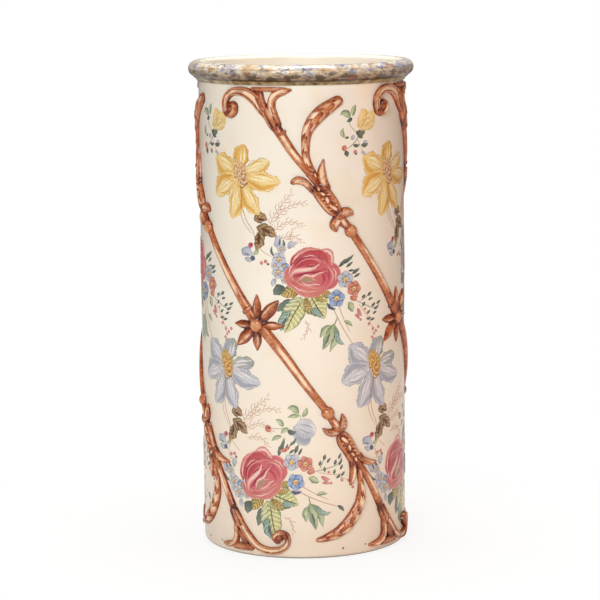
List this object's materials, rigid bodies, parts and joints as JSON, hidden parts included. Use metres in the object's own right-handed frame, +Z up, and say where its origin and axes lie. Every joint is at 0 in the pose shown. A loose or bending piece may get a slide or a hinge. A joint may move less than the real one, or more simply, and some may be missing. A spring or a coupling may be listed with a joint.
{
  "type": "umbrella stand",
  "caption": "Straight cylindrical glazed earthenware umbrella stand with a rolled rim, slanting moulded relief stems and painted flower sprays.",
  "frame": {"origin": "centre of the circle that the foot ring stands on", "axes": "+Z up along the cylinder's axis, -Y towards the side that the picture shows"},
  "size_m": [0.2636, 0.2636, 0.57],
  "materials": {
    "cream_glaze": "clear glaze over cream earthenware, with painted flowers",
    "brown_relief": "red-brown slip on moulded relief, glazed, paler on the high points",
    "printed_rim": "small-scale multicoloured sheet print, glazed"
  },
  "bodies": {
    "root": {"wall": "cream_glaze", "floor_slab": "cream_glaze", "rolled_rim": "printed_rim", "stem1_rosette": "brown_relief", "stem1_upper_rod": "brown_relief", "stem1_upper_bead": "brown_relief", "stem1_upper_husk": "brown_relief", "stem1_upper_curl": "brown_relief", "stem1_upper_branch": "brown_relief", "stem1_upper_scroll": "brown_relief", "stem1_lower_rod": "brown_relief", "stem1_lower_bead": "brown_relief", "stem1_lower_husk": "brown_relief", "stem1_lower_curl": "brown_relief", "stem1_lower_branch": "brown_relief", "stem1_lower_scroll": "brown_relief", "stem2_rosette": "brown_relief", "stem2_upper_rod": "brown_relief", "stem2_upper_bead": "brown_relief", "stem2_upper_husk": "brown_relief", "stem2_upper_curl": "brown_relief", "stem2_upper_branch": "brown_relief", "stem2_upper_scroll": "brown_relief", "stem2_lower_rod": "brown_relief", "stem2_lower_bead": "brown_relief", "stem2_lower_husk": "brown_relief", "stem2_lower_curl": "brown_relief", "stem2_lower_branch": "brown_relief", "stem2_lower_scroll": "brown_relief", "stem3_rosette": "brown_relief", "stem3_upper_rod": "brown_relief", "stem3_upper_bead": "brown_relief", "stem3_upper_husk": "brown_relief", "stem3_upper_curl": "brown_relief", "stem3_upper_branch": "brown_relief", "stem3_upper_scroll": "brown_relief", "stem3_lower_rod": "brown_relief", "stem3_lower_bead": "brown_relief", "stem3_lower_husk": "brown_relief", "stem3_lower_curl": "brown_relief", "stem3_lower_branch": "brown_relief", "stem3_lower_scroll": "brown_relief", "stem4_rosette": "brown_relief", "stem4_upper_rod": "brown_relief", "stem4_upper_bead": "brown_relief", "stem4_upper_husk": "brown_relief", "stem4_upper_curl": "brown_relief", "stem4_upper_branch": "brown_relief", "stem4_upper_scroll": "brown_relief", "stem4_lower_rod": "brown_relief", "stem4_lower_bead": "brown_relief", "stem4_lower_husk": "brown_relief", "stem4_lower_curl": "brown_relief", "stem4_lower_branch": "brown_relief", "stem4_lower_scroll": "brown_relief"}
  },
  "joints": []
}
